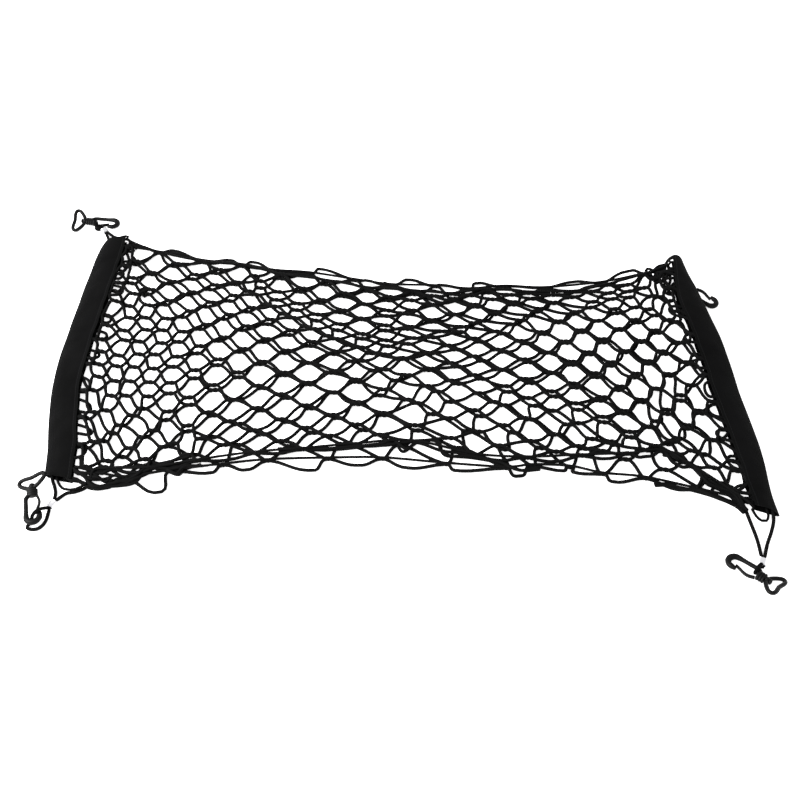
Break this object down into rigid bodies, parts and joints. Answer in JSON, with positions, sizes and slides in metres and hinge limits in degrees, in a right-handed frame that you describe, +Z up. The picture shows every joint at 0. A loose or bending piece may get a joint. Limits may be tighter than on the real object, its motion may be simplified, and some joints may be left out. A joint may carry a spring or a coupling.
{
  "type": "cargo net",
  "caption": "Flat-laid elastic envelope net with a folded cloth band over each end and a corner snap hook with a D-ring on each cord loop.",
  "frame": {"origin": "middle of the whole net and its hooks in plan, at the surface it lies on", "axes": "+X along the length, from the left band to the right band; +Y away from the near edge; +Z up"},
  "size_m": [0.9941, 0.6192, 0.0246],
  "materials": {
    "elastic_cord": "matt braided cover",
    "band_cloth": "matt fine weave",
    "hook_plastic": "satin moulded",
    "crimp_metal": "plain pressed"
  },
  "bodies": {
    "net": {"band_left": "band_cloth", "band_right": "band_cloth", "corner_cord_far_left": "elastic_cord", "corner_cord_far_right": "elastic_cord", "corner_cord_near_left": "elastic_cord", "corner_cord_near_right": "elastic_cord", "crimp_far_left": "crimp_metal", "crimp_far_right": "crimp_metal", "crimp_near_left": "crimp_metal", "crimp_near_right": "crimp_metal", "d_ring_far_left": "hook_plastic", "d_ring_far_right": "hook_plastic", "d_ring_near_left": "hook_plastic", "d_ring_near_right": "hook_plastic", "hem_far_lower": "elastic_cord", "hem_far_upper": "elastic_cord", "hem_near_lower": "elastic_cord", "hem_near_upper": "elastic_cord", "hook_far_left": "hook_plastic", "hook_far_right": "hook_plastic", "hook_near_left": "hook_plastic", "hook_near_right": "hook_plastic", "net_lower": "elastic_cord", "net_upper": "elastic_cord"},
    "gate_far_left": {"gate_far_left": "hook_plastic"},
    "gate_far_right": {"gate_far_right": "hook_plastic"},
    "gate_near_left": {"gate_near_left": "hook_plastic"},
    "gate_near_right": {"gate_near_right": "hook_plastic"}
  },
  "joints": [
    {"name": "gate_far_left_bend", "type": "hinge", "parent": "net", "child": "gate_far_left", "pos_m": [-0.46312, 0.28543, 0.00685], "axis": [0.0847, 0.0032, 0.9964], "range_deg": [0, 14], "stiffness_Nm_per_rad": 0.2},
    {"name": "gate_far_right_bend", "type": "hinge", "parent": "net", "child": "gate_far_right", "pos_m": [0.44055, 0.20259, 0.0069], "axis": [-0.0694, 0.0694, -0.9952], "range_deg": [0, 14], "stiffness_Nm_per_rad": 0.2},
    {"name": "gate_near_left_bend", "type": "hinge", "parent": "net", "child": "gate_near_left", "pos_m": [-0.39917, -0.22822, 0.01066], "axis": [-0.0239, 0.0805, -0.9965], "range_deg": [0, 14], "stiffness_Nm_per_rad": 0.2},
    {"name": "gate_near_right_bend", "type": "hinge", "parent": "net", "child": "gate_near_right", "pos_m": [0.452, -0.28257, 0.0076], "axis": [0.0871, -0.0618, -0.9943], "range_deg": [0, 14], "stiffness_Nm_per_rad": 0.2}
  ]
}
